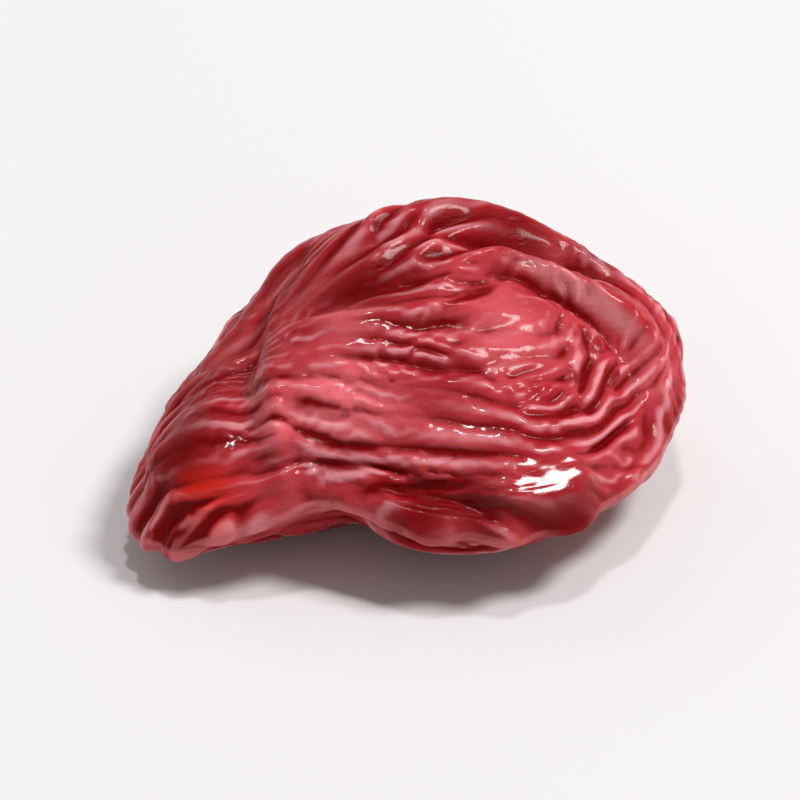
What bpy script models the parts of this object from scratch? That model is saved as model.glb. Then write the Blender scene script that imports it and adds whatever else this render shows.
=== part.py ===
# Dried cranberry: one sweetened, dried half berry, lying as it settles on a table.
#
# The berry is a closed pouch of leathery skin. Its middle surface leans up to the
# back, a crown stands on it and a smaller belly hangs under it, and the two meet in
# a rim that is thin and wavy in front and rounded behind. Folds and wrinkles are
# relief on that pouch. All sizes are millimetres, and the mesh is made in metres.
#
# X runs along the berry, with the blunt end at +X and the drooping lobe at -X.
# Y runs from the thin front rim (-Y) to the back fold (+Y). The berry stands on
# Z = 0, on a small flat spot under its belly.

import math

import bmesh
import bpy
import numpy as np
from mathutils import kdtree

MM = 0.001
NAME = "dried_cranberry"

# Finished size
LENGTH = 14.4
WIDTH = 10.9
THICKNESS = 6.1
FLAT_SPOT_DEPTH = 0.38  # how much of the belly's lowest bulge is pressed flat

# Pouch before folding
HALF_LENGTH = 6.75
HALF_WIDTH = 5.55
RIM_HEIGHT = 2.15
CROWN_HEIGHT = 3.2
BELLY_DEPTH = 2.45
CROWN_SKEW = (0.012, 0.050)  # share by which the crown grows for each millimetre of X and of Y
BELLY_SKEW = (0.020, 0.060)
LEAN_BACK = 0.13  # rise of the middle surface for each millimetre towards the back
LEAN_RIGHT = 0.07
LOBE_DROOP = 0.026  # how fast the left end bends down, past DROOP_FROM
DROOP_FROM = -2.0
RIM_ARCH, ARCH_ANGLE = 0.75, -129  # the rim lifts by this over the notch
EDGE_RADIUS = 0.27  # the thin rim's own rounding
EDGE_BAND = 0.20  # the part of the pouch's rise that it takes
THIN_FROM, THIN_OVER = 0.3, 0.55  # sharpness of both edges together where the rim starts to be thin
FRONT_ANGLE = -80
SCALLOP, SCALLOP_WAVES = 0.12, 17  # waviness of the front edge
LIP_GROOVE = 0.12  # the shallow groove behind the front edge, which leaves the edge as a lip
LIP_GROOVE_AT, LIP_GROOVE_BAND = 0.42, 0.13

# Bulges (+) and notches (-) of the outline: angle in degrees from +X, reach, tightness
OUTLINE_BULGES = (
    (-134, -1.25, 14.0),
    (-116, -0.95, 5.0),
    (-55, 0.62, 9.0),
    (-40, -0.45, 14.0),
    (-16, 0.45, 9.0),
    (-165, 0.60, 26.0),
    (178, 0.15, 20.0),
    (150, -0.70, 8.0),
    (125, -0.40, 10.0),
    (88, 0.20, 9.0),
    (35, -0.15, 9.0),
)
# How thin the rim is, above and below it: 0 is round, 1 a knife edge, more a flange
CROWN_EDGE = (0.06, ((-80, 0.60, 3.5), (-165, 0.15, 8.0)))
BELLY_EDGE = (0.18, ((-85, 2.00, 2.5), (-165, 0.30, 8.0)))

# Folds seen from above: the curve's control points, height, width
FOLDS = {
    "back_fold": (((-4.1, 2.3), (-0.5, 4.0), (4.1, 4.4), (6.4, 1.7), (6.7, -1.0)), 0.50, 0.60),
    "strand_gap": (((1.2, 2.1), (3.6, 1.6), (5.4, 2.0), (6.3, 0.2)), -0.38, 0.27),
    "inner_strand": (((1.2, 1.3), (3.8, 1.9), (8.4, -0.5), (5.3, -3.7)), 0.30, 0.30),
    "under_strand": (((1.9, 0.8), (3.9, 0.8), (6.8, -0.7), (5.2, -3.1)), -0.25, 0.27),
    "lobe_neck": (((-2.8, 3.6), (-3.9, 1.8), (-4.1, -0.4), (-4.1, -2.6)), -0.50, 0.50),
    "neck_ridge": (((-3.3, -0.4), (-3.2, -1.2), (-3.8, -2.0), (-3.6, -2.8)), 0.28, 0.32),
    "valley": (((-3.0, 2.4), (-1.9, 0.7), (0.2, 1.5), (1.8, 0.7)), -0.45, 0.42),
    "shine_ridge": (((-3.3, 1.8), (-2.1, 0.0), (0.6, -0.8), (2.8, 0.4)), 0.25, 0.36),
    "ledge": (((1.3, -4.4), (2.5, -4.6), (3.8, -4.5)), 0.55, 0.50),
}
# Where the skin has dried flat: middle, direction it faces, reach, how much longer it is along X
FACET = ((2.45, -4.75, 3.15), (0.148, -0.506, 0.849), 0.85, 2.0)
FACET_CALM = 0.88  # share of the wrinkles that it leaves out
CURVE_STEPS = 60
FOLD_FADE = 3.0  # a fold rises to its full height over a third of its length
TOP_FROM, TOP_OVER = -0.25, 0.50  # folds are on skin whose normal's Z is above this

# Broad dents: height, size, seed
DENTS = (0.25, 5.0, 3)

# Wrinkles run along the berry, a little fanned, and in closer rings round its blunt end
WRINKLE_HEIGHT = 0.10
WRINKLE_SPACING, END_SPACING = 1.10, 0.72
END_FROM, END_OVER = 2.2, 2.5  # X where the spacing starts to close up, and over what length
FAN_TURN, FAN_PER_Y, FAN_SWAY = -4, 2.2, 14  # degrees
FAN_WAVE = (0.55, 0.40)
RING_MIDDLE = (3.1, -0.4)
RING_FROM, RING_OVER, RING_PER_Y = 2.0, 2.4, 0.25

# Wave patches that the wrinkles are made from
SOURCE_COUNT = 900
SOURCE_SEED = 11
SOURCE_REACH = 1.15  # a patch's reach, in wrinkle spacings
SOURCE_EDGE = 2.3  # where a patch has died away, in reaches
SOURCE_SCATTER = 0.35  # how far patches lie off an even spread, as a share of their gaps
SOURCE_TURN = 0.32  # how far patches are turned from their true direction, in radians
SPACING_NOISE = (0.15, 4.0, 21)
SETTLE_ROUNDS = 30
GROOVE_SOFTNESS = 0.14
RIDGE_MIDDLE = 0.66  # the mean height of a ridge's round profile
FILL = 1.3  # how soon ridges reach full height away from where two runs meet
ROUNDNESS = (0.65, 0.50, 4.5, 31)  # share of round ridges: middle, swing, size of patches, seed
LOUDNESS = (0.90, 0.45, 3.6, 5)  # height of ridges, in the same order
LOUDNESS_RANGE = (0.25, 1.6)

UNDERSIDE_CALM = 0.6  # the share of the relief that is pressed out where the berry lies
CALM_FROM, CALM_OVER = 0.60, 0.35  # on skin that faces down by more than this
THIN_SKIN = 1.8  # where crown and belly together are thinner than this, both faces ripple as one

FACE_DIVISIONS = 27  # squares along an edge of the starting cube

SKIN_COLOUR = (0.22, 0.010, 0.014, 1.0)
SKIN_ROUGHNESS = 0.42


def unit(vectors):
    return vectors / np.maximum(np.linalg.norm(vectors, axis=1, keepdims=True), 1e-9)


def ease(value):
    value = np.clip(value, 0, 1)
    return value * value * (3 - 2 * value)


def bump(angle, centre, tightness):
    return np.exp(tightness * (np.cos(angle - math.radians(centre)) - 1))


def edge_sharpness(angle, edge):
    base, bumps = edge
    return base + sum(amount * bump(angle, centre, tight) for centre, amount, tight in bumps)


def outline_radius(angle):
    ellipse = 1 / np.hypot(np.cos(angle) / HALF_LENGTH, np.sin(angle) / HALF_WIDTH)
    return ellipse + sum(reach * bump(angle, at, tight) for at, reach, tight in OUTLINE_BULGES)


def pouch(directions):
    """For unit directions: points of the smooth pouch, the same points on its middle surface,
    and how thin it is there, from 0 to 1."""
    x, y, z = directions.T
    angle = np.arctan2(y, x)
    rise = np.abs(z)
    across = np.sqrt(np.clip(x * x + y * y, 1e-12, 1))
    crown_edge, belly_edge = edge_sharpness(angle, CROWN_EDGE), edge_sharpness(angle, BELLY_EDGE)
    thin_rim = ease((crown_edge + belly_edge - THIN_FROM) / THIN_OVER)
    round_edge = np.clip(rise / EDGE_BAND, 0, 1) * math.pi / 2
    edge = EDGE_RADIUS * thin_rim
    scallop = np.sin(SCALLOP_WAVES * angle + np.sin(5 * angle))
    scallop *= SCALLOP * bump(angle, FRONT_ANGLE, 1.5)
    reach = (outline_radius(angle) - edge) * across + (edge + scallop) * np.cos(round_edge)
    px, py = reach * np.cos(angle), reach * np.sin(angle)
    middle = RIM_HEIGHT + LEAN_BACK * py + LEAN_RIGHT * px
    middle -= LOBE_DROOP * np.clip(DROOP_FROM - px, 0, None) ** 2
    middle += RIM_ARCH * bump(angle, ARCH_ANGLE, 6.0) * across**2
    crown = CROWN_HEIGHT * (1 + CROWN_SKEW[0] * px + CROWN_SKEW[1] * py)
    crown *= rise ** (1 + crown_edge * across**2)
    belly = BELLY_DEPTH * (1 + BELLY_SKEW[0] * px + BELLY_SKEW[1] * py)
    belly *= rise ** (1 + belly_edge * across**2)
    thinness = thin_rim * (1 - ease((crown + belly) / THIN_SKIN))
    lip = np.exp(-(((rise - LIP_GROOVE_AT) / LIP_GROOVE_BAND) ** 2))
    crown -= LIP_GROOVE * bump(angle, FRONT_ANGLE, 2.0) * lip
    edge = edge * np.sin(round_edge) * across**2
    pz = np.where(z > 0, middle + crown + edge, middle - belly - edge)
    return np.stack([px, py, pz], 1), np.stack([px, py, middle], 1), thinness[:, None]


def pouch_with_normals(directions, step=1e-3):
    """Points and normals of the smooth pouch, then the points and normals that its relief
    follows. Where the pouch is thin they are the middle surface's, and both faces ripple as one."""
    side = np.where(np.abs(directions[:, 2:]) < 0.9, [[0, 0, 1.0]], [[1.0, 0, 0]])
    u = unit(np.cross(side, directions))
    v = np.cross(directions, u)
    points, middle, thinness = pouch(directions)
    along_u = pouch(unit(directions + step * u))[0] - pouch(unit(directions - step * u))[0]
    along_v = pouch(unit(directions + step * v))[0] - pouch(unit(directions - step * v))[0]
    normals = unit(np.cross(along_u, along_v))
    upright = np.array([0, 0, 1.0]) * np.where(normals[:, 2:] < 0, -1, 1)
    relief_points = points + (middle - points) * thinness
    relief_normals = unit(normals + (upright - normals) * thinness)
    return points, normals, relief_points, relief_normals, thinness


def soft_noise(points, size, seed, waves=14):
    """Smooth noise, about -1 to 1, from a few waves in random directions."""
    rng = np.random.default_rng(seed)
    total = np.zeros(len(points))
    for _ in range(waves):
        wave = rng.normal(size=3)
        wave *= 2 * math.pi / (size * rng.uniform(0.8, 1.6) * np.linalg.norm(wave))
        total += np.cos(points @ wave + rng.uniform(0, 2 * math.pi))
    return total / math.sqrt(waves / 2)


def fold(plan, controls, height, width):
    """A smooth ridge or groove along a Bezier curve seen from above, fading out at both ends."""
    t = (np.arange(CURVE_STEPS) + 0.5) / CURVE_STEPS
    n = len(controls) - 1
    shares = [math.comb(n, i) * t**i * (1 - t) ** (n - i) for i in range(n + 1)]
    curve = np.array(shares).T @ np.array(controls)
    step = np.linalg.norm(np.gradient(curve, axis=0), axis=1)
    weight = step * ease(t * FOLD_FADE) * ease((1 - t) * FOLD_FADE)
    gaps = np.hypot(plan[:, :1] - curve[:, 0], plan[:, 1:] - curve[:, 1])
    return height * np.exp(-((gaps / width) ** 2)) @ weight / (width * math.sqrt(math.pi))


def fold_relief(points, normals, thinness):
    """The folds are on top, and go through to the underside where the rim is thin."""
    shown = np.maximum(ease((normals[:, 2] - TOP_FROM) / TOP_OVER), thinness[:, 0])
    return shown * sum(fold(points[:, :2], *shape) for shape in FOLDS.values())


def press_facet(points):
    """The points, with those near the facet moved onto its plane, and how much each was moved."""
    middle, facing, reach, stretch = FACET
    facing = unit(np.array([facing]))[0]
    gap = points - np.array(middle)
    away = np.linalg.norm(gap / [stretch, 1, 1], axis=1)
    share = np.exp(-((away / reach) ** 4))
    return points - (share * (gap @ facing))[:, None] * facing, share


def across_wrinkles(points, normals):
    """Unit vectors that lie in the skin, square to the wrinkles."""
    x, y = points[:, 0], points[:, 1]
    sway = FAN_SWAY * np.sin(FAN_WAVE[0] * x + FAN_WAVE[1] * y)
    fan = np.radians(FAN_TURN + FAN_PER_Y * y + sway)
    lengthwise = np.stack([np.cos(fan), np.sin(fan)], 1)
    rings = unit(np.stack([RING_MIDDLE[1] - y, x - RING_MIDDLE[0]], 1))
    rings *= np.where((rings * lengthwise).sum(1, keepdims=True) < 0, -1, 1)
    share = ease((x - RING_FROM + RING_PER_Y * np.abs(y)) / RING_OVER)[:, None]
    along = np.column_stack([lengthwise * (1 - share) + rings * share, np.zeros(len(points))])
    return unit(np.cross(normals, along))


def spread_directions(count, rng):
    """Directions spread evenly over a sphere in a golden spiral, each a little off its place."""
    i = np.arange(count) + 0.5
    z = 1 - 2 * i / count
    turn = i * math.pi * (3 - math.sqrt(5))
    ring = np.sqrt(1 - z * z)
    spiral = np.stack([ring * np.cos(turn), ring * np.sin(turn), z], 1)
    return unit(spiral + rng.normal(scale=SOURCE_SCATTER / math.sqrt(count), size=spiral.shape))


def search_tree(points):
    tree = kdtree.KDTree(len(points))
    for i, point in enumerate(points):
        tree.insert(point, i)
    tree.balance()
    return tree


def wrinkle_sources():
    """Small wave patches spread over the pouch. Neighbours settle into step, so that their
    crests join into ridges."""
    rng = np.random.default_rng(SOURCE_SEED)
    _, _, points, normals, _ = pouch_with_normals(spread_directions(SOURCE_COUNT, rng))
    across = across_wrinkles(points, normals)
    turn = rng.normal(scale=SOURCE_TURN, size=(SOURCE_COUNT, 1))
    across = across * np.cos(turn) + np.cross(normals, across) * np.sin(turn)
    near_end = np.clip((points[:, 0] - END_FROM) / END_OVER, 0, 1)
    spacing = WRINKLE_SPACING + (END_SPACING - WRINKLE_SPACING) * near_end
    change, size, seed = SPACING_NOISE
    spacing *= 1 + change * soft_noise(points, size, seed)
    rate = 2 * math.pi / spacing
    phase = rng.uniform(0, 2 * math.pi, SOURCE_COUNT)
    reach = SOURCE_REACH * spacing
    tree = search_tree(points)
    pairs = [
        (i, j)
        for i in range(SOURCE_COUNT)
        for _, j, _ in tree.find_range(points[i], SOURCE_EDGE * reach[i])
        if i != j
    ]
    here, there = np.array(pairs).T
    gap = points[here] - points[there]
    same_way = (across[here] * across[there]).sum(1)
    weight = np.abs(same_way) * np.exp(-(gap**2).sum(1) / reach[there] ** 2)
    travel = rate[there] * (gap * across[there]).sum(1)
    for _ in range(SETTLE_ROUNDS):
        wave = weight * np.exp(1j * np.sign(same_way) * (phase[there] + travel))
        real = np.bincount(here, wave.real, SOURCE_COUNT)
        imaginary = np.bincount(here, wave.imag, SOURCE_COUNT)
        phase = np.angle(np.exp(1j * phase) + np.exp(1j * np.arctan2(imaginary, real)))
    return points, across, rate, phase, reach


def patchy(points, recipe, low, high):
    middle, swing, size, seed = recipe
    return np.clip(middle + swing * soft_noise(points, size, seed), low, high)


def wrinkle_relief(points, normals):
    """Ridges about 1 high from groove to crest, fading out where two runs of ridges meet."""
    facing = across_wrinkles(points, normals)
    tree = search_tree(points)
    field = np.zeros(len(points), complex)
    for centre, across, rate, phase, reach in zip(*wrinkle_sources()):
        near = np.array([i for _, i, _ in tree.find_range(centre, SOURCE_EDGE * reach)], int)
        if not len(near):
            continue
        gap = points[near] - centre
        same_way = facing[near] @ across
        weight = np.abs(same_way) * np.exp(-(gap**2).sum(1) / reach**2)
        turn = phase + rate * (gap @ across)
        field[near] += weight * np.exp(1j * np.sign(same_way) * turn)
    strength = np.abs(field)
    strength = np.tanh(FILL * strength / strength.mean())
    half = np.angle(field) / 2
    round_ridge = np.hypot(np.sin(half), GROOVE_SOFTNESS) - RIDGE_MIDDLE
    sharp_ridge = RIDGE_MIDDLE - np.hypot(np.cos(half), GROOVE_SOFTNESS)
    roundness = patchy(points, ROUNDNESS, 0, 1)
    loudness = patchy(points, LOUDNESS, *LOUDNESS_RANGE)
    return 2 * strength * loudness * (roundness * round_ridge + (1 - roundness) * sharp_ridge)


def berry_points(directions):
    points, normals, relief_points, relief_normals, thinness = pouch_with_normals(directions)
    calm = ease((-normals[:, 2] - CALM_FROM) / CALM_OVER) * (1 - thinness[:, 0])
    push = normals + (np.array([0, 0, 1.0]) - normals) * thinness
    push *= 1 - UNDERSIDE_CALM * calm[:, None]
    height, size, seed = DENTS
    folds = height * soft_noise(relief_points, size, seed)
    folds += fold_relief(relief_points, normals, thinness)
    folded, facet = press_facet(points + push * folds[:, None])
    wrinkles = WRINKLE_HEIGHT * wrinkle_relief(relief_points, relief_normals)
    wrinkles *= 1 - FACET_CALM * facet
    return folded + push * wrinkles[:, None]


def press_flat_and_fit(points):
    """Presses the lowest bulge flat, and brings the berry to its size, standing on Z = 0 with
    its middle at the origin."""
    points[:, 2] = np.maximum(points[:, 2], points[:, 2].min() + FLAT_SPOT_DEPTH)
    low, high = points.min(0), points.max(0)
    size = np.array([LENGTH, WIDTH, THICKNESS])
    foot = np.array([(low[0] + high[0]) / 2, (low[1] + high[1]) / 2, low[2]])
    return (points - foot) * size / (high - low)


def cube_ball():
    """A cube with gridded faces, and the unit direction of each vertex, spaced evenly on the ball."""
    bm = bmesh.new()
    bmesh.ops.create_cube(bm, size=2)
    bmesh.ops.subdivide_edges(bm, edges=bm.edges[:], cuts=FACE_DIVISIONS - 1, use_grid_fill=True)
    corners = np.array([v.co[:] for v in bm.verts])
    return bm, unit(np.tan(corners * math.pi / 4))


def skin_material():
    material = bpy.data.materials.new("cranberry_skin")
    material.use_nodes = True
    shader = material.node_tree.nodes["Principled BSDF"]
    shader.inputs["Base Color"].default_value = SKIN_COLOUR
    shader.inputs["Roughness"].default_value = SKIN_ROUGHNESS
    shader.inputs["Metallic"].default_value = 0.0
    return material


def build_berry(collection):
    bm, directions = cube_ball()
    points = press_flat_and_fit(berry_points(directions))
    for vertex, point in zip(bm.verts, points):
        vertex.co = point * MM
    bmesh.ops.triangulate(bm, faces=bm.faces[:], quad_method="SHORT_EDGE")
    bmesh.ops.recalc_face_normals(bm, faces=bm.faces[:])
    mesh = bpy.data.meshes.new(NAME)
    bm.to_mesh(mesh)
    bm.free()
    mesh.shade_smooth()
    mesh.materials.append(skin_material())
    berry = bpy.data.objects.new(NAME, mesh)
    collection.objects.link(berry)
    return berry


def main():
    for item in list(bpy.data.objects):
        bpy.data.objects.remove(item, do_unlink=True)
    collection = bpy.data.collections.new("Dried cranberry")
    bpy.context.scene.collection.children.link(collection)
    build_berry(collection)


main()
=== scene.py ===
import math
from functools import partial

import bmesh
import bpy
import numpy as np
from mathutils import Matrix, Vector, kdtree


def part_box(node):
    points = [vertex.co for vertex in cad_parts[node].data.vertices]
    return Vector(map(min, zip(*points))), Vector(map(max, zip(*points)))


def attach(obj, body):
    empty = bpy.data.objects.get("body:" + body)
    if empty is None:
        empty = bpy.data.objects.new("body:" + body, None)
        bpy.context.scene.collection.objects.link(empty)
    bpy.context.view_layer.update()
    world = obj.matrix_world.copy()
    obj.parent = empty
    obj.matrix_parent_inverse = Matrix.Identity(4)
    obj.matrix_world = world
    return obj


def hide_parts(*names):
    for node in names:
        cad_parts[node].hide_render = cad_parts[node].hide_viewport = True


mm = 0.001
tiny = 1e-12  # keeps a division or a root from failing at nought
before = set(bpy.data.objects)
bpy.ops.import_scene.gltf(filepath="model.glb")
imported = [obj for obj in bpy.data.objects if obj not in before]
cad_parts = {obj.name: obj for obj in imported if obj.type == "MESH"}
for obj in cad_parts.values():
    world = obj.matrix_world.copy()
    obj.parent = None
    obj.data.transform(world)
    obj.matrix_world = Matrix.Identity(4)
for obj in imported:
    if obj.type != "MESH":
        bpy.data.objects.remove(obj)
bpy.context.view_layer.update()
print("frame loaded:", sorted(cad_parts))

# The closed pouch of skin before it is folded. X runs to the blunt end, Y to the back fold.
pouch = {
    "halfLength": 6.75,
    "halfWidth": 5.55,
    "rimHeight": 2.15,
    "crownHeight": 3.2,
    "bellyDepth": 2.45,
    "crownSkew": (0.012, 0.050),  # growth of the crown for each millimetre of X and of Y
    "bellySkew": (0.020, 0.060),
    "leanBack": 0.13,
    "leanRight": 0.07,
    "lobeDroop": 0.026,
    "droopFrom": -2.0,
    "rimArch": (0.75, -129, 6.0),  # rise, angle in degrees, tightness
    "frontAngle": -80,
    "scallop": (0.12, 17, 5, 1.5),  # height, waves, waves of their uneven spacing, tightness
    "lipGroove": (0.12, 0.42, 0.13, 2.0),  # depth, where up the crown, width, tightness
    "edgeRadius": 0.27,
    "edgeBand": 0.20,
    "thinFrom": 0.3,
    "thinOver": 0.55,
    "thinSkin": 1.8,
    "rimHighlightBand": (0.09, 0.50),  # how far the painted highlight along the rim reaches above and below it
    "steepFrom": 0.9,  # where the side axis turns, so that it never lies along a direction
    # angle, reach and tightness of each bulge or notch of the outline
    "bulges": (
        (-134, -1.25, 14.0),
        (-116, -0.95, 5.0),
        (-55, 0.62, 9.0),
        (-40, -0.45, 14.0),
        (-16, 0.45, 9.0),
        (-165, 0.60, 26.0),
        (178, 0.15, 20.0),
        (150, -0.70, 8.0),
        (125, -0.40, 10.0),
        (88, 0.20, 9.0),
        (35, -0.15, 9.0),
    ),
    # how sharply each face closes at the rim: all round, then angle, extra and tightness of places
    "crownEdge": (0.06, ((-80, 0.60, 3.5), (-165, 0.15, 8.0))),
    "bellyEdge": (0.18, ((-85, 2.00, 2.5), (-165, 0.30, 8.0))),
}


def unit(vectors):
    return vectors / np.maximum(np.linalg.norm(vectors, axis=1, keepdims=True), tiny)


def ease(value):
    value = np.clip(value, 0, 1)
    return value * value * (3 - 2 * value)


def bump(angle, centre, tightness):
    return np.exp(tightness * (np.cos(angle - math.radians(centre)) - 1))


def edgeSharpness(angle, edge):
    base, bumps = edge
    return base + sum(amount * bump(angle, centre, tight) for centre, amount, tight in bumps)


def outlineRadius(angle):
    ellipse = 1 / np.hypot(np.cos(angle) / pouch["halfLength"], np.sin(angle) / pouch["halfWidth"])
    return ellipse + sum(reach * bump(angle, at, tight) for at, reach, tight in pouch["bulges"])


# how sharply the upper and the lower face close at the rim, and how thin it is, from 0 to 1
def rimShape(angle):
    crownEdge = edgeSharpness(angle, pouch["crownEdge"])
    bellyEdge = edgeSharpness(angle, pouch["bellyEdge"])
    return crownEdge, bellyEdge, ease((crownEdge + bellyEdge - pouch["thinFrom"]) / pouch["thinOver"])


# points of the smooth pouch, the same points on its middle surface, and how thin it is there
def pouchPoints(directions):
    x, y, z = directions.T
    angle = np.arctan2(y, x)
    rise = np.abs(z)
    across = np.sqrt(np.clip(x * x + y * y, tiny, 1))
    crownEdge, bellyEdge, thinRim = rimShape(angle)
    roundEdge = np.clip(rise / pouch["edgeBand"], 0, 1) * math.pi / 2
    edge = pouch["edgeRadius"] * thinRim
    scallopHeight, waves, unevenWaves, scallopTightness = pouch["scallop"]
    scallop = np.sin(waves * angle + np.sin(unevenWaves * angle))
    scallop *= scallopHeight * bump(angle, pouch["frontAngle"], scallopTightness)
    reach = (outlineRadius(angle) - edge) * across + (edge + scallop) * np.cos(roundEdge)
    px, py = reach * np.cos(angle), reach * np.sin(angle)
    middle = pouch["rimHeight"] + pouch["leanBack"] * py + pouch["leanRight"] * px
    middle -= pouch["lobeDroop"] * np.clip(pouch["droopFrom"] - px, 0, None) ** 2
    archRise, archAngle, archTightness = pouch["rimArch"]
    middle += archRise * bump(angle, archAngle, archTightness) * across**2
    crown = pouch["crownHeight"] * (1 + pouch["crownSkew"][0] * px + pouch["crownSkew"][1] * py)
    crown *= rise ** (1 + crownEdge * across**2)
    belly = pouch["bellyDepth"] * (1 + pouch["bellySkew"][0] * px + pouch["bellySkew"][1] * py)
    belly *= rise ** (1 + bellyEdge * across**2)
    thinness = thinRim * (1 - ease((crown + belly) / pouch["thinSkin"]))
    lipDepth, lipAt, lipWidth, lipTightness = pouch["lipGroove"]
    lip = np.exp(-(((rise - lipAt) / lipWidth) ** 2))
    crown -= lipDepth * bump(angle, pouch["frontAngle"], lipTightness) * lip
    edge = edge * np.sin(roundEdge) * across**2
    pz = np.where(z > 0, middle + crown + edge, middle - belly - edge)
    return np.stack([px, py, pz], 1), np.stack([px, py, middle], 1), thinness[:, None]


# how near each point is to the edge of the thin rim, from 0 to 1; this places the painted highlight
# along the rim
def rimHighlightBand(directions):
    x, y, z = directions.T
    _, _, thinRim = rimShape(np.arctan2(y, x))
    above, below = pouch["rimHighlightBand"]
    return thinRim * (1 - ease(np.abs(z) / np.where(z > 0, above, below)))


# where the pouch is thin, relief follows the middle surface, so that both faces ripple as one
def pouchWithNormals(directions, step=1e-3):
    steep = np.abs(directions[:, 2:]) > pouch["steepFrom"]
    side = np.where(steep, [[1.0, 0, 0]], [[0, 0, 1.0]])
    u = unit(np.cross(side, directions))
    v = np.cross(directions, u)
    points, middle, thinness = pouchPoints(directions)
    alongU = pouchPoints(unit(directions + step * u))[0] - pouchPoints(unit(directions - step * u))[0]
    alongV = pouchPoints(unit(directions + step * v))[0] - pouchPoints(unit(directions - step * v))[0]
    normals = unit(np.cross(alongU, alongV))
    upright = np.array([0, 0, 1.0]) * np.where(normals[:, 2:] < 0, -1, 1)
    reliefPoints = points + (middle - points) * thinness
    reliefNormals = unit(normals + (upright - normals) * thinness)
    return points, normals, reliefPoints, reliefNormals, thinness


# Folds and dents of the whole berry. A fold is a curve seen from above, its height and its width.
folds = {
    "curves": {
        "backFold": (((-4.1, 2.3), (-0.5, 4.0), (4.1, 4.4), (6.4, 1.7), (6.7, -1.0)), 0.50, 0.60),
        "strandGap": (((1.2, 2.1), (3.6, 1.6), (5.4, 2.0), (6.3, 0.2)), -0.38, 0.27),
        "innerStrand": (((1.2, 1.3), (3.8, 1.9), (8.4, -0.5), (5.3, -3.7)), 0.30, 0.30),
        "underStrand": (((1.9, 0.8), (3.9, 0.8), (6.8, -0.7), (5.2, -3.1)), -0.25, 0.27),
        "lobeNeck": (((-2.8, 3.6), (-3.9, 1.8), (-4.1, -0.4), (-4.1, -2.6)), -0.50, 0.50),
        "neckRidge": (((-3.3, -0.4), (-3.2, -1.2), (-3.8, -2.0), (-3.6, -2.8)), 0.28, 0.32),
        "valley": (((-3.0, 2.4), (-1.9, 0.7), (0.2, 1.5), (1.8, 0.7)), -0.45, 0.42),
        "shineRidge": (((-3.3, 1.8), (-2.1, 0.0), (0.6, -0.8), (2.8, 0.4)), 0.25, 0.36),
        "ledge": (((1.3, -4.4), (2.5, -4.6), (3.8, -4.5)), 0.55, 0.50),
    },
    "steps": 60,
    "fade": 3.0,  # a fold rises to its full height over a third of its length
    # folds show on what faces up: where that starts, and how soon they are full
    "topFrom": -0.25,
    "topOver": 0.50,
    "dents": (0.25, 5.0, 3),  # height, size, seed
    # where the skin has dried flat: middle, direction it faces, reach, how much longer it is
    # along X, how sudden its edge is
    "facet": ((2.45, -4.75, 3.15), (0.148, -0.506, 0.849), 0.85, 2.0, 4),
    "facetCalm": 0.88,  # share of the wrinkles that it leaves out
}


# smooth noise, about -1 to 1, from a few waves in random directions
def softNoise(points, size, seed, waves=14, lengths=(0.8, 1.6)):
    rng = np.random.default_rng(seed)
    total = np.zeros(len(points))
    for _ in range(waves):
        wave = rng.normal(size=3)
        wave *= 2 * math.pi / (size * rng.uniform(*lengths) * np.linalg.norm(wave))
        total += np.cos(points @ wave + rng.uniform(0, 2 * math.pi))
    return total / math.sqrt(waves / 2)


def curvePoints(controls):
    t = (np.arange(folds["steps"]) + 0.5) / folds["steps"]
    n = len(controls) - 1
    shares = [math.comb(n, i) * t**i * (1 - t) ** (n - i) for i in range(n + 1)]
    return t, np.array(shares).T @ np.array(controls)


def foldHeight(plan, controls, height, width):
    t, curve = curvePoints(controls)
    step = np.linalg.norm(np.gradient(curve, axis=0), axis=1)
    weight = step * ease(t * folds["fade"]) * ease((1 - t) * folds["fade"])
    gaps = np.hypot(plan[:, :1] - curve[:, 0], plan[:, 1:] - curve[:, 1])
    return height * np.exp(-((gaps / width) ** 2)) @ weight / (width * math.sqrt(math.pi))


def foldRelief(points, normals, thinness):
    shown = np.maximum(ease((normals[:, 2] - folds["topFrom"]) / folds["topOver"]), thinness[:, 0])
    return shown * sum(foldHeight(points[:, :2], *shape) for shape in folds["curves"].values())


# the points, with those near the facet moved onto its plane, and how far each went, from 0 to 1
def pressFacet(points):
    middle, facing, reach, stretch, suddenness = folds["facet"]
    facing = unit(np.array([facing]))[0]
    gap = points - np.array(middle)
    away = np.linalg.norm(gap / [stretch, 1, 1], axis=1)
    share = np.exp(-((away / reach) ** suddenness))
    return points - (share * (gap @ facing))[:, None] * facing, share


# Which way the wrinkles run: along the berry, swaying a little, and in rings round the blunt end
flow = {
    "turn": -4,  # degrees, as are the next two
    "turnPerY": 2.2,
    "sway": 14,
    "swayWave": (0.55, 0.40),  # along X and along Y
    "ringMiddle": (3.1, -0.4),
    "ringFrom": 2.0,
    "ringOver": 2.4,
    "ringPerY": 0.25,
    # the wrinkles lie closer at the blunt end: from which X, and how soon that is full
    "endFrom": 2.2,
    "endOver": 2.5,
    "patchReach": 1.15,  # in wrinkle spacings
    "patchEdge": 2.3,  # where a patch has died away, in reaches
    "patchScatter": 0.35,
    "ridgeMiddle": 0.66,
}

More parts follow.
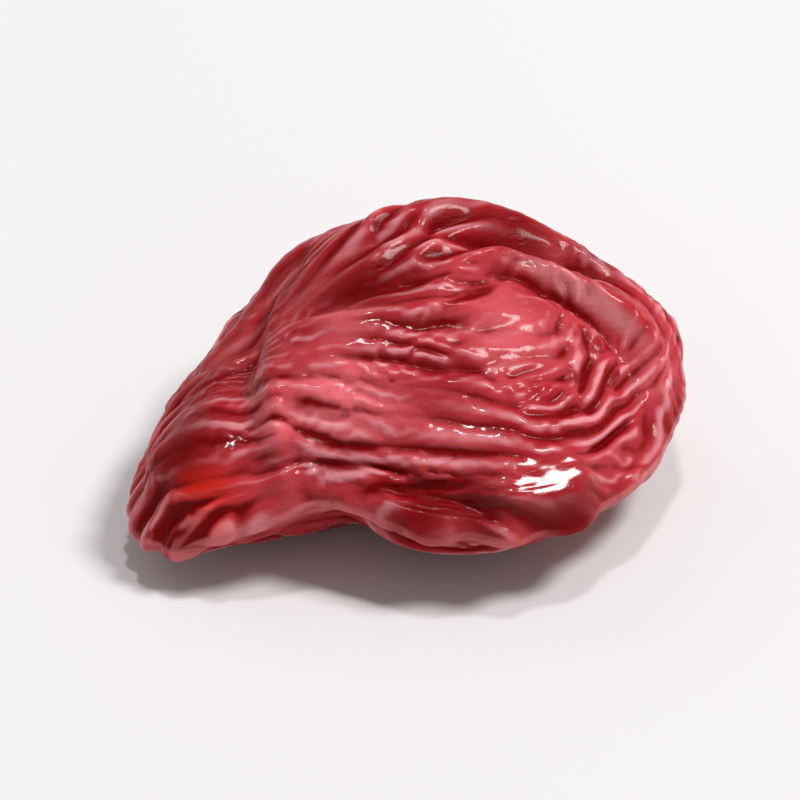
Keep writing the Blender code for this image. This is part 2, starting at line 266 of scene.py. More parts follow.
# Lines seen from above that the middle wrinkles' grooves follow
creases = {
    "facetLine": ((0.8, -0.5), (2.0, -0.4), (2.9, 0.2)),
    "underShine": ((-1.8, -0.1), (-0.4, -0.7), (1.2, -1.1), (2.0, -2.6)),
    "midGroove": ((-3.4, -0.4), (-1.7, -1.4), (0.3, -2.0), (2.0, -2.9)),
    "plateauGroove": ((-3.0, -1.1), (-1.6, -1.9), (-0.3, -2.5), (1.2, -3.1)),
    "lowGroove": ((-3.2, -1.7), (-1.8, -2.6), (-0.2, -3.4), (1.5, -3.8)),
    "frontLow": ((-2.0, -3.4), (-0.3, -3.9), (1.3, -4.5)),
    "firstArc": ((4.7, -0.6), (4.7, -2.0), (3.6, -3.0)),
    "outerArc": ((6.5, -0.4), (7.1, -1.8), (6.0, -3.1)),
    "neckLine": ((-3.0, -1.6), (-3.3, -2.2), (-3.1, -2.8)),
    "overStrand": ((1.6, 2.2), (3.7, 1.8), (5.2, 2.0), (6.2, 0.3)),
    "underStrand": ((2.2, 1.0), (3.8, 0.6), (5.2, 0.1), (5.4, -1.4)),
    "valleyLine": ((-2.9, 2.4), (-2.0, 0.6), (0.2, 1.4), (1.7, 0.7)),
}
creaseRules = {
    "reach": 0.32,  # how far from the line a patch follows it
    "facing": -0.1,  # patches that face further down than this don't
    "neighbours": 4,  # patches that a place on the line takes its height from
    "evenness": 0.05,  # how alike the neighbours count, however near they are
}

# Long single grooves, seen from above, that are cut as well: two in the front lip, one below the
# inner strand and one where the smooth top begins
longGrooves = (
    creases["frontLow"],
    ((-1.1, -4.0), (0.2, -4.65), (1.6, -5.2)),
    creases["underStrand"],
    ((0.9, -0.4), (1.9, 0.0), (3.0, 0.5)),
)
longGrooveWidth = 0.15

# Three layers of wrinkles, each made of small wave patches whose neighbours fall into step
wrinkles = {
    "coarse": {
        "count": 900,
        "seed": 11,
        "spacing": 1.10,
        "endSpacing": 0.72,
        "spacingNoise": (0.15, 4.0, 21),  # share, patch size, seed
        "turn": 0.32,  # how far patches turn from the flow at random, in radians
        "rounds": 30,  # how often each patch follows its neighbours
        "softness": 0.14,
        "fill": 1.3,  # how soon ridges reach full height away from where two runs meet
        "roundness": (0.65, 0.50, 4.5, 31),  # middle, swing, patch size, seed
        "loudness": (0.90, 0.45, 3.6, 5),  # in the same order
        "loudnessRange": (0.25, 1.6),
        "height": 0.10,
        "followsCreases": False,
    },
    "middle": {
        "count": 3200,
        "seed": 19,
        "spacing": 0.62,
        "endSpacing": 0.52,
        "spacingNoise": (0.22, 2.4, 22),
        "turn": 0.28,
        "rounds": 32,
        "softness": 0.10,
        "fill": 2.0,
        "roundness": (0.80, 0.35, 3.4, 33),
        "loudness": (0.95, 0.40, 3.0, 8),
        "loudnessRange": (0.2, 1.7),
        "height": 0.056,
        "followsCreases": True,
    },
    "fine": {
        "count": 6500,
        "seed": 17,
        "spacing": 0.34,
        "endSpacing": 0.30,
        "spacingNoise": (0.15, 2.0, 23),
        "turn": 0.80,
        "rounds": 12,
        "softness": 0.18,
        "fill": 1.6,
        "roundness": (0.45, 0.50, 3.0, 32),
        "loudness": (0.80, 0.60, 2.6, 9),
        "loudnessRange": (0.1, 1.8),
        "height": 0.021,
        "followsCreases": False,
    },
}


def patchy(points, recipe, low, high):
    middle, swing, size, seed = recipe
    return np.clip(middle + swing * softNoise(points, size, seed), low, high)


# unit vectors that lie in the skin, square to the wrinkles
def acrossWrinkles(points, normals):
    x, y = points[:, 0], points[:, 1]
    sway = flow["sway"] * np.sin(flow["swayWave"][0] * x + flow["swayWave"][1] * y)
    fan = np.radians(flow["turn"] + flow["turnPerY"] * y + sway)
    lengthwise = np.stack([np.cos(fan), np.sin(fan)], 1)
    rings = unit(np.stack([flow["ringMiddle"][1] - y, x - flow["ringMiddle"][0]], 1))
    rings *= np.where((rings * lengthwise).sum(1, keepdims=True) < 0, -1, 1)
    share = ease((x - flow["ringFrom"] + flow["ringPerY"] * np.abs(y)) / flow["ringOver"])[:, None]
    along = np.column_stack([lengthwise * (1 - share) + rings * share, np.zeros(len(points))])
    return unit(np.cross(normals, along))


def spreadDirections(count, rng):
    i = np.arange(count) + 0.5
    z = 1 - 2 * i / count
    goldenAngle = math.pi * (3 - math.sqrt(5))
    turn = i * goldenAngle
    ring = np.sqrt(1 - z * z)
    spiral = np.stack([ring * np.cos(turn), ring * np.sin(turn), z], 1)
    return unit(spiral + rng.normal(scale=flow["patchScatter"] / math.sqrt(count), size=spiral.shape))


def searchTree(points):
    tree = kdtree.KDTree(len(points))
    for i, point in enumerate(points):
        tree.insert(point, i)
    tree.balance()
    return tree


# turns the patches beside each crease to it and sets their phase, so that a groove lies on it
def followCreases(points, normals, across, rate, phase):
    held = np.zeros(len(points), bool)
    nearest = np.full(len(points), creaseRules["reach"])
    facesUp = normals[:, 2] > creaseRules["facing"]
    top = np.where(facesUp)[0]
    plan = searchTree(np.column_stack([points[top, :2], np.zeros(len(top))]))
    for controls in creases.values():
        _, curve = curvePoints(controls)
        heights = []
        for spot in curve:
            close = plan.find_n((spot[0], spot[1], 0), creaseRules["neighbours"])
            shares = np.array([1 / (gap + creaseRules["evenness"]) for _, _, gap in close])
            heights.append(shares @ points[top[[i for _, i, _ in close]], 2] / shares.sum())
        line = np.column_stack([curve, heights])
        tangents = unit(np.gradient(line, axis=0))
        for place, tangent in zip(line, tangents):
            gap = place - points
            away = np.linalg.norm(gap, axis=1)
            close = np.where((away < nearest) & facesUp)[0]
            side = unit(np.cross(normals[close], tangent))
            side *= np.where((side * across[close]).sum(1, keepdims=True) < 0, -1, 1)
            across[close] = side
            phase[close] = -rate[close] * (gap[close] * side).sum(1)
            nearest[close] = away[close]
            held[close] = True
    return held


def wavePatches(layer):
    count = layer["count"]
    rng = np.random.default_rng(layer["seed"])
    _, _, points, normals, _ = pouchWithNormals(spreadDirections(count, rng))
    across = acrossWrinkles(points, normals)
    turn = rng.normal(scale=layer["turn"], size=(count, 1))
    across = across * np.cos(turn) + np.cross(normals, across) * np.sin(turn)
    nearEnd = np.clip((points[:, 0] - flow["endFrom"]) / flow["endOver"], 0, 1)
    spacing = layer["spacing"] + (layer["endSpacing"] - layer["spacing"]) * nearEnd
    change, size, seed = layer["spacingNoise"]
    spacing *= 1 + change * softNoise(points, size, seed)
    rate = 2 * math.pi / spacing
    phase = rng.uniform(0, 2 * math.pi, count)
    held = np.zeros(count, bool)
    if layer["followsCreases"]:
        held = followCreases(points, normals, across, rate, phase)
    reach = flow["patchReach"] * spacing
    tree = searchTree(points)
    pairs = []
    for i in range(count):
        found = tree.find_range(points[i], flow["patchEdge"] * reach[i])
        pairs += [(i, j) for _, j, _ in found if i != j]
    here, there = np.array(pairs).T
    gap = points[here] - points[there]
    sameWay = (across[here] * across[there]).sum(1)
    weight = np.abs(sameWay) * np.exp(-(gap**2).sum(1) / reach[there] ** 2)
    travel = rate[there] * (gap * across[there]).sum(1)
    for _ in range(layer["rounds"]):
        wave = weight * np.exp(1j * np.sign(sameWay) * (phase[there] + travel))
        real = np.bincount(here, wave.real, count)
        imaginary = np.bincount(here, wave.imag, count)
        settled = np.angle(np.exp(1j * phase) + np.exp(1j * np.arctan2(imaginary, real)))
        phase = np.where(held, phase, settled)
    return points, across, rate, phase, reach


# relief about 1 high from groove to crest, and how deep in a groove each point lies, from 0 to 1
def wrinkleLayer(points, facing, tree, layer):
    field = np.zeros(len(points), complex)
    for centre, across, rate, phase, reach in zip(*wavePatches(layer)):
        near = np.array([i for _, i, _ in tree.find_range(centre, flow["patchEdge"] * reach)], int)
        if not len(near):
            continue
        gap = points[near] - centre
        sameWay = facing[near] @ across
        weight = np.abs(sameWay) * np.exp(-(gap**2).sum(1) / reach**2)
        turn = phase + rate * (gap @ across)
        field[near] += weight * np.exp(1j * np.sign(sameWay) * turn)
    strength = np.abs(field)
    strength = np.tanh(layer["fill"] * strength / strength.mean())
    half = np.angle(field) / 2
    roundRidge = np.hypot(np.sin(half), layer["softness"]) - flow["ridgeMiddle"]
    sharpRidge = flow["ridgeMiddle"] - np.hypot(np.cos(half), layer["softness"])
    roundness = patchy(points, layer["roundness"], 0, 1)
    loudness = patchy(points, layer["loudness"], *layer["loudnessRange"])
    relief = 2 * strength * loudness * (roundness * roundRidge + (1 - roundness) * sharpRidge)
    return relief, strength * loudness * (1 - np.abs(np.sin(half)))


# Small pits among the rings at the blunt end. They lie where a noise rises above "from".
pits = {
    "spots": (((4.7, -1.7, 4.1), 1.3, 1.0),),  # middle, reach, share
    "size": 0.75,
    "seed": 41,
    "from": 0.3,
    "over": 0.8,
    "depth": 0.65,
}

berryMesh = {
    "divisions": 128,  # squares along an edge of the starting cube
    "shiftUp": 0.30,  # moves faces from the underside to the top, where detail shows
    "lumpHeight": 0.048,  # from the lowest to the highest that the noise can be
    "lumpSize": 0.55,
    "lumpDetail": 1.0,
    "flatSpotDepth": 0.38,
    # the share of the relief that the underside leaves out, where that starts, and how soon it is full
    "undersideCalm": (0.6, 0.60, 0.35),
    "facetCalm": 0.93,  # share of the middle and fine wrinkles that the pressed facet leaves out
    "facetCalmTightness": 3,
    # smooth places that the middle and fine wrinkles leave out: middle, reach, share
    "calmSpots": (
        ((2.7, -0.9, 5.0), 1.25, 0.8),
        ((-2.4, 3.2, 4.6), 1.9, 0.5),
        ((-2.1, -3.2, 2.2), 0.8, 0.8),
        ((-3.7, -1.2, 4.2), 0.55, 0.6),
        ((-3.5, -2.1, 3.7), 0.60, 0.75),
        ((-1.9, -1.8, 4.4), 0.9, 0.35),
        ((-0.7, -4.3, 2.6), 0.75, 0.75),
        ((0.5, -4.7, 2.6), 0.75, 0.75),
    ),
    # more of them for the fine wrinkles alone
    "fineCalmSpots": (((-0.4, -3.5, 3.3), 1.6, 0.8),),
    # where wrinkles are higher than elsewhere, in the same order
    "loudSpots": (
        ((5.2, 0.4, 4.4), 1.5, 0.9),
        ((-3.4, 1.0, 3.6), 1.3, 0.5),
        ((0.0, -3.5, 3.4), 1.6, 0.25),
        ((4.4, -3.9, 3.2), 0.9, 0.5),
        ((-4.4, -3.2, 1.9), 1.2, 0.8),
    ),
}

# Patches of painted light, painted shade and painted glow on the skin: middle, reach, strength
tints = {
    # painted light: lighter where light falls
    "paintedLight": (
        ((2.7, -0.9, 5.0), 1.5, 0.5),
        ((-1.9, -1.8, 4.4), 1.4, 1.0),
        ((6.1, -1.6, 3.4), 1.0, 0.6),
        ((-1.3, 0.0, 5.7), 0.8, 0.7),
        ((-3.7, -1.7, 4.2), 0.7, 1.0),
        ((-5.5, -2.5, 1.7), 0.7, 0.7),
        ((0.4, -3.5, 3.4), 0.9, 0.5),
    ),
    # painted shade: darker where shade falls
    "paintedShade": (
        ((-0.4, 1.2, 5.4), 1.3, 1.0),
        ((-5.6, -0.7, 3.2), 1.1, 1.0),
        ((2.9, -5.3, 2.0), 1.1, 1.0),
        ((-0.5, -4.3, 2.6), 0.80, 1.0),
        ((0.6, -4.7, 2.7), 0.85, 1.0),
        ((0.9, -1.9, 4.8), 0.8, 0.35),
        ((-4.5, 1.6, 3.4), 1.7, 0.8),
        ((-1.5, 3.6, 4.8), 1.7, 0.7),
        ((2.5, 3.6, 5.2), 1.3, 0.7),
        ((3.8, 2.3, 5.5), 1.2, 0.9),
        ((5.4, 1.7, 4.7), 1.0, 0.6),
        ((-3.7, 0.5, 3.9), 0.8, 0.3),
    ),
    # painted glow, as of light shining through the thin lobe
    "glow": (((-5.5, -1.9, 2.7), 0.85, 0.85), ((-5.5, -2.4, 2.0), 0.6, 0.5)),
}

# The strand round the blunt end, seen from above, that gets a painted mauve sheen
sheenStrand = ((2.4, 1.3), (4.3, 1.1), (5.6, 0.1), (6.6, -2.2))
sheenWidth = 0.30

# Small glossy beads that catch the light, and how far their gloss and their bump reach
beads = {
    "middles": (
        (1.0, -2.9, 4.1),
        (1.3, -3.1, 4.0),
        (1.7, -3.4, 3.9),
        (0.2, -0.5, 5.6),
        (-0.5, -0.4, 5.6),
        (-1.6, 0.0, 5.6),
        (-4.8, -1.5, 3.5),
        (-3.5, -2.7, 2.6),
    ),
    "glossReach": 0.40,
    "bumpReach": 0.20,
    "height": 0.030,
}


def spots(points, recipe):
    total = np.zeros(len(points))
    for middle, reach, strength in recipe:
        away = np.linalg.norm(points - np.array(middle), axis=1)
        total = np.maximum(total, strength * np.exp(-((away / reach) ** 2)))
    return total


def cubeBall():
    bm = bmesh.new()
    bmesh.ops.create_cube(bm, size=2)
    cuts = berryMesh["divisions"] - 1
    bmesh.ops.subdivide_edges(bm, edges=bm.edges[:], cuts=cuts, use_grid_fill=True)
    corners = np.array([v.co[:] for v in bm.verts])
    ball = unit(np.tan(corners * math.pi / 4))
    return bm, unit(ball + [0, 0, berryMesh["shiftUp"]])


def storeFloat(mesh, name, values):
    attribute = mesh.attributes.new(name, "FLOAT", "POINT")
    attribute.data.foreach_set("value", np.asarray(values, np.float32))


def storeVector(mesh, name, values):
    attribute = mesh.attributes.new(name, "FLOAT_VECTOR", "POINT")
    attribute.data.foreach_set("vector", np.asarray(values, np.float32).ravel())


def storeTints(mesh, points, top, facet):
    def beadsWithin(reach):
        return spots(points, [(middle, reach, 1) for middle in beads["middles"]])

    # masks of the painted light, painted shade, painted glow and the strand's painted sheen
    for name, recipe in tints.items():
        storeFloat(mesh, name, spots(points, recipe))
    strandSheen = np.minimum(foldHeight(points[:, :2], sheenStrand, 1.0, sheenWidth), 1)
    storeFloat(mesh, "strandSheen", strandSheen * top)
    storeFloat(mesh, "gloss", np.maximum(beadsWithin(beads["glossReach"]), facet))
    storeFloat(mesh, "bead", beadsWithin(beads["bumpReach"]))


# how deep the long grooves and the pits are at each point, from 0 to 1
def cutDepth(points, top):
    grooves = sum(foldHeight(points[:, :2], line, 1.0, longGrooveWidth) for line in longGrooves)
    pitted = ease((softNoise(points, pits["size"], pits["seed"]) - pits["from"]) / pits["over"])
    pitted *= pits["depth"] * spots(points, pits["spots"])
    return np.maximum(np.minimum(grooves, 1) * top, pitted)


# what share of a layer's wrinkles shows at each point
def shownShare(name, points, facet):
    if name == "coarse":
        return 1 - folds["facetCalm"] * facet
    shown = 1 - berryMesh["facetCalm"] * facet ** berryMesh["facetCalmTightness"]
    shown *= (1 - spots(points, berryMesh["calmSpots"])) * (1 + spots(points, berryMesh["loudSpots"]))
    if name == "fine":
        shown *= 1 - spots(points, berryMesh["fineCalmSpots"])
    return shown


# the folded pouch as a mesh in millimetres, with its wrinkles and tints stored as attributes
def foldedPouch():
    bm, directions = cubeBall()
    points, normals, reliefPoints, reliefNormals, thinness = pouchWithNormals(directions)
    facing = acrossWrinkles(reliefPoints, reliefNormals)
    tree = searchTree(reliefPoints)
    height, size, seed = folds["dents"]
    base = height * softNoise(reliefPoints, size, seed) + foldRelief(reliefPoints, normals, thinness)
    calmShare, calmFrom, calmOver = berryMesh["undersideCalm"]
    calm = 1 - calmShare * ease((-normals[:, 2] - calmFrom) / calmOver) * (1 - thinness[:, 0])
    push = normals + (np.array([0, 0, 1.0]) - normals) * thinness
    mesh = bpy.data.meshes.new("driedCranberry")
    bmesh.ops.recalc_face_normals(bm, faces=bm.faces[:])
    bm.to_mesh(mesh)
    bm.free()
    points, facet = pressFacet(points + push * (base * calm)[:, None])
    mesh.vertices.foreach_set("co", np.asarray(points, np.float32).ravel())
    storeVector(mesh, "push", push * calm[:, None])
    storeVector(mesh, "outward", normals * calm[:, None])
    storeFloat(mesh, "rim", rimHighlightBand(directions))
    top = ease(normals[:, 2] / folds["topOver"])
    storeTints(mesh, points, top, facet)
    cut = cutDepth(points, top)
    for name, layer in wrinkles.items():
        relief, depth = wrinkleLayer(reliefPoints, facing, tree, layer)
        shown = shownShare(name, points, facet)
        relief, depth = relief * shown, depth * shown
        if name == "middle":
            relief, depth = relief - cut, np.maximum(depth, cut)
        storeFloat(mesh, name, relief)
        storeFloat(mesh, name + "Groove", depth)
        print("wrinkles laid:", name)
    return mesh


def addNode(tree, kind, **settings):
    node = tree.nodes.new(kind)
    for key, value in settings.items():
        setattr(node, key, value)
    return node


def link(tree, source, target):
    tree.links.new(source, target)


# gives a socket a number, a colour or what another node puts out
def feed(tree, value, target):
    if isinstance(value, (int, float, tuple)):
        target.default_value = value
    else:
        link(tree, value, target)


def calculated(tree, operation, a, b):
    node = addNode(tree, "ShaderNodeMath", operation=operation)
    feed(tree, a, node.inputs[0])
    feed(tree, b, node.inputs[1])
    return node.outputs[0]


# eases from toLow to toHigh while the value goes from low to high
def smoothRamp(tree, value, low, high, toLow=0.0, toHigh=1.0):
    node = addNode(tree, "ShaderNodeMapRange", interpolation_type="SMOOTHSTEP")
    link(tree, value, node.inputs["Value"])
    ends = {"From Min": low, "From Max": high, "To Min": toLow, "To Max": toHigh}
    for name, number in ends.items():
        node.inputs[name].default_value = number
    return node.outputs["Result"]


def socketCalled(sockets, identifier):
    return next(socket for socket in sockets if socket.identifier == identifier)


# displaces the folded pouch by its wrinkles, presses its flat spot and fits it to the frame's box
def skinTree(material):
    tree = bpy.data.node_groups.new("wrinkledSkin", "GeometryNodeTree")
    tree.is_modifier = True
    tree.interface.new_socket("Geometry", in_out="INPUT", socket_type="NodeSocketGeometry")
    for name, value in (
        ("Coarse Height", wrinkles["coarse"]["height"]),
        ("Middle Height", wrinkles["middle"]["height"]),
        ("Fine Height", wrinkles["fine"]["height"]),
        ("Bead Height", beads["height"]),
        ("Lump Height", berryMesh["lumpHeight"]),
        ("Lump Size", berryMesh["lumpSize"]),
        ("Flat Spot Depth", berryMesh["flatSpotDepth"]),
    ):
        socket = tree.interface.new_socket(name, in_out="INPUT", socket_type="NodeSocketFloat")
        socket.default_value = value
    for name in ("Low Corner", "High Corner"):
        tree.interface.new_socket(name, in_out="INPUT", socket_type="NodeSocketVector")
    tree.interface.new_socket("Geometry", in_out="OUTPUT", socket_type="NodeSocketGeometry")

    add, calculate = partial(addNode, tree), partial(calculated, tree)

    def stored(name, kind="FLOAT"):
        node = add("GeometryNodeInputNamedAttribute", data_type=kind)
        node.inputs["Name"].default_value = name
        return node.outputs["Attribute"]

    def raised(name):
        return calculate("MULTIPLY", stored(name), given.outputs[name.title() + " Height"])

    def shifted(geometry, direction, amount):
        offset = add("ShaderNodeVectorMath", operation="SCALE")
        link(tree, stored(direction, "FLOAT_VECTOR"), offset.inputs[0])
        link(tree, amount, offset.inputs["Scale"])
        node = add("GeometryNodeSetPosition")
        link(tree, geometry, node.inputs["Geometry"])
        link(tree, offset.outputs["Vector"], node.inputs["Offset"])
        return node.outputs["Geometry"]

    given = add("NodeGroupInput")
    lumps = add("ShaderNodeTexNoise", noise_dimensions="3D")
    lumps.inputs["Detail"].default_value = berryMesh["lumpDetail"]
    link(tree, calculate("DIVIDE", 1.0, given.outputs["Lump Size"]), lumps.inputs["Scale"])
    centred = calculate("SUBTRACT", lumps.outputs["Fac"], 0.5)
    small = calculate("MULTIPLY", centred, given.outputs["Lump Height"])
    for name in ("middle", "fine", "bead"):
        small = calculate("ADD", small, raised(name))
    wrinkled = shifted(given.outputs["Geometry"], "push", raised("coarse"))
    wrinkled = shifted(wrinkled, "outward", small)

    whole = add("GeometryNodeBoundBox")
    link(tree, wrinkled, whole.inputs["Geometry"])
    lowest = add("ShaderNodeSeparateXYZ")
    link(tree, whole.outputs["Min"], lowest.inputs[0])
    here = add("GeometryNodeInputPosition")
    parts = add("ShaderNodeSeparateXYZ")
    link(tree, here.outputs[0], parts.inputs[0])
    flat = calculate("ADD", lowest.outputs["Z"], given.outputs["Flat Spot Depth"])
    pressedPlace = add("ShaderNodeCombineXYZ")
    link(tree, parts.outputs["X"], pressedPlace.inputs["X"])
    link(tree, parts.outputs["Y"], pressedPlace.inputs["Y"])
    link(tree, calculate("MAXIMUM", parts.outputs["Z"], flat), pressedPlace.inputs["Z"])
    pressed = add("GeometryNodeSetPosition")
    link(tree, wrinkled, pressed.inputs["Geometry"])
    link(tree, pressedPlace.outputs[0], pressed.inputs["Position"])

    box = add("GeometryNodeBoundBox")
    link(tree, pressed.outputs["Geometry"], box.inputs["Geometry"])
    fit = add("ShaderNodeMapRange", data_type="FLOAT_VECTOR", clamp=False)
    link(tree, here.outputs[0], fit.inputs["Vector"])
    for source, target in (
        (box.outputs["Min"], "From_Min_FLOAT3"),
        (box.outputs["Max"], "From_Max_FLOAT3"),
        (given.outputs["Low Corner"], "To_Min_FLOAT3"),
        (given.outputs["High Corner"], "To_Max_FLOAT3"),
    ):
        link(tree, source, socketCalled(fit.inputs, target))
    fitted = add("GeometryNodeSetPosition")
    link(tree, pressed.outputs["Geometry"], fitted.inputs["Geometry"])
    link(tree, fit.outputs["Vector"], fitted.inputs["Position"])

    smooth = add("GeometryNodeSetShadeSmooth")
    real = add("GeometryNodeRealizeInstances")
    coloured = add("GeometryNodeSetMaterial")
    coloured.inputs["Material"].default_value = material
    previous = fitted
    for node in (smooth, real, coloured, add("NodeGroupOutput")):
        link(tree, previous.outputs["Geometry"], node.inputs["Geometry"])
        previous = node
    return tree


def buildBerry(material):
    berry = bpy.data.objects.new("driedCranberry", foldedPouch())
    bpy.context.scene.collection.objects.link(berry)
    modifier = berry.modifiers.new("wrinkledSkin", "NODES")
    modifier.node_group = skinTree(material)
    corners = dict(zip(("Low Corner", "High Corner"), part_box("dried_cranberry")))
    for socket in modifier.node_group.interface.items_tree:
        if socket.name in corners:
            modifier[socket.identifier] = corners[socket.name][:]
    evaluated = berry.evaluated_get(bpy.context.evaluated_depsgraph_get())
    mesh = bpy.data.meshes.new_from_object(evaluated)
    berry.modifiers.remove(modifier)
    berry.data = mesh
    print("berry built:", len(mesh.polygons) * 2, "triangles")
    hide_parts("dried_cranberry")
    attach(berry, "root")
    return berry


skin = {
    # linear red, green, blue, alpha
    "body": (0.33, 0.009, 0.016, 1),
    "plateau": (0.42, 0.036, 0.046, 1),
    # painted sheen: a pale pink laid on the wrinkle crests, as if they caught the light
    "crestSheen": (0.62, 0.235, 0.268, 1),
    # painted shade: the grooves are darkened in colour
    "grooveShade": (0.17, 0.0004, 0.0008, 1),
    # painted highlight: a pale line along the thin rim's edge
    "rimHighlight": (0.55, 0.130, 0.140, 1),
    # painted light: patches lightened where light falls
    "paintedLightSpot": (0.64, 0.120, 0.142, 1),
    # painted shade: patches darkened where shade falls
    "paintedShadeSpot": (0.15, 0.0010, 0.0018, 1),
    # painted glow: bright red, as of light shining through the thin lobe
    "paintedGlowSpot": (0.75, 0.020, 0.005, 1),
    # painted sheen: a greyish mauve on the strand round the blunt end
    "strandSheen": (0.52, 0.200, 0.215, 1),
    # patterns: size, detail, and how dense they are along X, as a share of across it
    "blotches": (2.2, 3.0, 1.0),
    "streaks": (0.70, 3.0, 0.25),
    "rimStreaks": (0.30, 3.0, 0.30),
    "specks": (0.55, 2.0, 1.0),
    "pores": (0.09, 2.0, 1.0),
    "lines": (0.20, 3.0, 0.35),
    "poreDepth": 0.013,
    "lineDepth": 0.036,
    # what makes a place a groove or a crest
    "grooveShares": {"coarseGroove": 0.35, "middleGroove": 0.85, "fineGroove": 0.25, "streaks": 0.5},
    "crestShares": {"middle": 1.0, "fine": 0.6, "streaks": 1.2},
    # from and to, then what a ramp gives there if it isn't 0 and 1
    "blotchRamp": (0.35, 0.65),
    "crestRamp": (0.10, 1.2, 0.0, 0.90),
    "grooveRamp": (0.20, 0.85),
    "rimRamp": (0.2, 0.8),
    "rimBreaks": (0.34, 0.56, 0.35, 0.95),
    "strandSheenRamp": (0.2, 1.0, 0.0, 0.65),
    "roughness": (0.62, 0.42, 0.28, 0.44),
    "polish": 0.70,  # the share of its roughness that a glossy facet loses
    "coat": 0.19,
    "facetCoat": 0.38,  # what a glossy facet's coat has more
    "dulling": 0.75,  # the share of its coat that a groove or a spot of painted shade loses
    "coatRoughness": 0.10,
    "specular": 0.05,
    "subsurface": 0.35,
    "scatterScale": 1.1,
    "scatterRadius": (1.0, 0.10, 0.08),
}


def skinMaterial():
    material = bpy.data.materials.new("cranberrySkin")
    material.use_nodes = True
    tree = material.node_tree
    shader = tree.nodes["Principled BSDF"]

    add, calculate, ramp = (partial(helper, tree) for helper in (addNode, calculated, smoothRamp))

    def stored(name):
        return add("ShaderNodeAttribute", attribute_name=name).outputs["Fac"]

    def mix(share, a, b):
        node = add("ShaderNodeMix", data_type="RGBA")
        for name, value in (("Factor_Float", share), ("A_Color", a), ("B_Color", b)):
            feed(tree, value, socketCalled(node.inputs, name))
        return socketCalled(node.outputs, "Result_Color")

    place = add("ShaderNodeTexCoord").outputs["Object"]

    def pattern(name):
        size, detail, alongX = skin[name]
        mapping = add("ShaderNodeMapping")
        mapping.inputs["Scale"].default_value = (alongX, 1, 1)
        link(tree, place, mapping.inputs["Vector"])
        node = add("ShaderNodeTexNoise", noise_dimensions="3D")
        node.inputs["Scale"].default_value = 1 / (size * mm)
        node.inputs["Detail"].default_value = detail
        link(tree, mapping.outputs[0], node.inputs["Vector"])
        return node.outputs["Fac"]

    streaks = pattern("streaks")
    centredStreaks = calculate("SUBTRACT", streaks, 0.5)

    def weighted(shares):
        total = 0.0
        for name, share in shares.items():
            value = centredStreaks if name == "streaks" else stored(name)
            total = calculate("ADD", total, calculate("MULTIPLY", value, share))
        return total

    # painted shade darkening the grooves, also used to dull the coat there
    grooveShadeShare = ramp(weighted(skin["grooveShares"]), *skin["grooveRamp"])
    # painted sheen on the wrinkle crests
    crestSheen = ramp(weighted(skin["crestShares"]), *skin["crestRamp"])
    # painted highlight along the rim's edge, broken by streaks
    breaks = ramp(pattern("rimStreaks"), *skin["rimBreaks"])
    rim = calculate("MULTIPLY", ramp(stored("rim"), *skin["rimRamp"]), breaks)
    colour = mix(ramp(pattern("blotches"), *skin["blotchRamp"]), skin["body"], skin["plateau"])
    for share, spot in (
        (ramp(stored("paintedLight"), 0, 1), "paintedLightSpot"),
        (ramp(stored("strandSheen"), *skin["strandSheenRamp"]), "strandSheen"),
        (crestSheen, "crestSheen"),
        (stored("glow"), "paintedGlowSpot"),
        (grooveShadeShare, "grooveShade"),
        (rim, "rimHighlight"),
        (stored("paintedShade"), "paintedShadeSpot"),
    ):
        colour = mix(share, colour, skin[spot])
    link(tree, colour, shader.inputs["Base Color"])

    rough = ramp(pattern("specks"), *skin["roughness"])
    polish = calculate("SUBTRACT", 1.0, calculate("MULTIPLY", stored("gloss"), skin["polish"]))
    link(tree, calculate("MULTIPLY", rough, polish), shader.inputs["Roughness"])
    dull = calculate("MULTIPLY", calculate("MAXIMUM", grooveShadeShare, stored("paintedShade")), skin["dulling"])
    coat = calculate("MULTIPLY", calculate("SUBTRACT", 1.0, dull), skin["coat"])
    coat = calculate("ADD", coat, calculate("MULTIPLY", stored("gloss"), skin["facetCoat"]))
    link(tree, coat, shader.inputs["Coat Weight"])

    normal = None
    for name, depth in (("pores", skin["poreDepth"]), ("lines", skin["lineDepth"])):
        node = add("ShaderNodeBump")
        node.inputs["Distance"].default_value = depth * mm
        link(tree, pattern(name), node.inputs["Height"])
        if normal:
            link(tree, normal, node.inputs["Normal"])
        normal = node.outputs["Normal"]
    link(tree, normal, shader.inputs["Normal"])

    for name, value in {
        "Subsurface Weight": skin["subsurface"],
        "Subsurface Radius": skin["scatterRadius"],
        "Subsurface Scale": skin["scatterScale"] * mm,
        "Specular IOR Level": skin["specular"],
        "Coat Roughness": skin["coatRoughness"],
    }.items():
        shader.inputs[name].default_value = value
    return material


studio = {
    "floorRadius": 550,
    "bend": 250,
    "wallHeight": 300,
    "bendSteps": 12,
    "sides": 96,
    "mergeGap": 0.01,
    "colour": (0.64, 0.625, 0.625, 1),
    "roughness": 0.8,
    "specular": 0.2,
    "airColour": (1, 1, 1, 1),
    "air": 0.31,  # strength of the even light from all round
    # the far floor glows, to look as bright as the near one: from, to, strength
    "farLight": (40, 350, 0.55),
}


def floorMaterial():
    material = bpy.data.materials.new("studioFloor")
    material.use_nodes = True
    tree = material.node_tree
    distance = addNode(tree, "ShaderNodeVectorMath", operation="LENGTH")
    link(tree, addNode(tree, "ShaderNodeTexCoord").outputs["Object"], distance.inputs[0])
    near, far, strength = studio["farLight"]
    glow = smoothRamp(tree, distance.outputs["Value"], near * mm, far * mm, 0.0, strength)
    shader = tree.nodes["Principled BSDF"]
    link(tree, glow, shader.inputs["Emission Strength"])
    for name, value in {
        "Base Color": studio["colour"],
        "Emission Color": studio["colour"],
        "Roughness": studio["roughness"],
        "Specular IOR Level": studio["specular"],
    }.items():
        shader.inputs[name].default_value = value
    return material


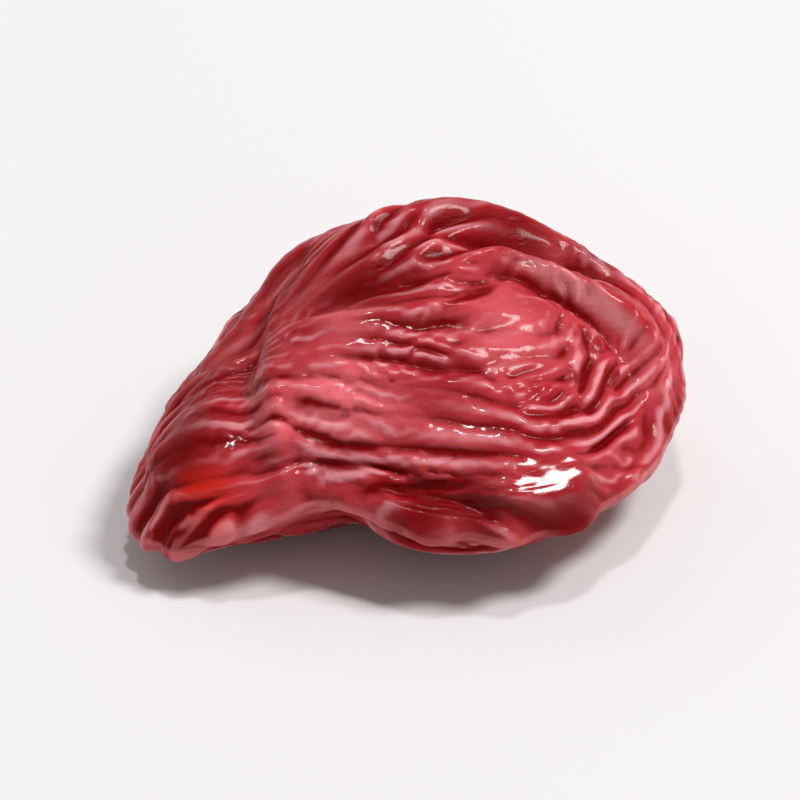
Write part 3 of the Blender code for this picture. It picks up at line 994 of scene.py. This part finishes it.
# a round floor whose edge bends up into a wall, so that every view has a plain pale ground
def buildStudio():
    radius, bend, top = studio["floorRadius"], studio["bend"], studio["wallHeight"]
    turns = np.linspace(0, math.pi / 2, studio["bendSteps"] + 1)
    profile = [(0.0, 0.0)] + [(radius + bend * math.sin(t), bend * (1 - math.cos(t))) for t in turns]
    profile.append((radius + bend, top))
    bm = bmesh.new()
    verts = [bm.verts.new((r * mm, 0, z * mm)) for r, z in profile]
    edges = [bm.edges.new(pair) for pair in zip(verts, verts[1:])]
    bmesh.ops.spin(
        bm, geom=verts + edges, cent=(0, 0, 0), axis=(0, 0, 1), angle=2 * math.pi, steps=studio["sides"]
    )
    bmesh.ops.remove_doubles(bm, verts=bm.verts[:], dist=studio["mergeGap"] * mm)
    bmesh.ops.recalc_face_normals(bm, faces=bm.faces[:])
    mesh = bpy.data.meshes.new("studioFloor")
    bm.to_mesh(mesh)
    bm.free()
    mesh.shade_smooth()
    mesh.materials.append(floorMaterial())
    floor = bpy.data.objects.new("studioFloor", mesh)
    bpy.context.scene.collection.objects.link(floor)
    world = bpy.data.worlds.new("studioAir")
    world.use_nodes = True
    air = world.node_tree.nodes["Background"]
    air.inputs["Color"].default_value = studio["airColour"]
    air.inputs["Strength"].default_value = studio["air"]
    bpy.context.scene.world = world


# place, size and watts of each softbox
lights = {
    "keyBox": ((175, -45, 300), 100, 1.08),
    "sparkle": ((40, 60, 370), 40, 0.42),
    "backGlow": ((-160, 260, 200), 220, 0.15),
}


def addLights():
    for name, (place, size, watts) in lights.items():
        lamp = bpy.data.lights.new(name, "AREA")
        lamp.shape = "DISK"
        lamp.size = size * mm
        lamp.energy = watts
        holder = bpy.data.objects.new(name, lamp)
        holder.location = Vector(place) * mm
        holder.rotation_euler = holder.location.to_track_quat("Z", "Y").to_euler()
        bpy.context.scene.collection.objects.link(holder)


photoView = {
    "azimuth": -18,  # degrees, as is the elevation
    "elevation": 38,
    "distance": 350,
    "fill": 0.70,  # share of the picture's width that the berry takes
    "aim": (0.0, 0.0, 2.6),
    "sensorWidth": 36,
    "nearLimit": 10,
}


def addCamera(berry):
    azimuth, elevation = math.radians(photoView["azimuth"]), math.radians(photoView["elevation"])
    back = Vector((
        math.sin(azimuth) * math.cos(elevation),
        -math.cos(azimuth) * math.cos(elevation),
        math.sin(elevation),
    ))
    right = Vector((math.cos(azimuth), math.sin(azimuth), 0))
    spans = [v.co.dot(right) for v in berry.data.vertices]
    camera = bpy.data.cameras.new("photoCamera")
    camera.sensor_width = photoView["sensorWidth"]
    width = (max(spans) - min(spans)) / photoView["fill"]
    camera.lens = camera.sensor_width * photoView["distance"] * mm / width
    camera.clip_start = photoView["nearLimit"] * mm
    holder = bpy.data.objects.new("photoCamera", camera)
    holder.location = (Vector(photoView["aim"]) + back * photoView["distance"]) * mm
    holder.rotation_euler = back.to_track_quat("Z", "Y").to_euler()
    bpy.context.scene.collection.objects.link(holder)
    bpy.context.scene.camera = holder


berry = buildBerry(skinMaterial())
buildStudio()
addLights()
addCamera(berry)
bpy.context.scene.view_settings.view_transform = "Standard"
print("studio, lights and camera set")
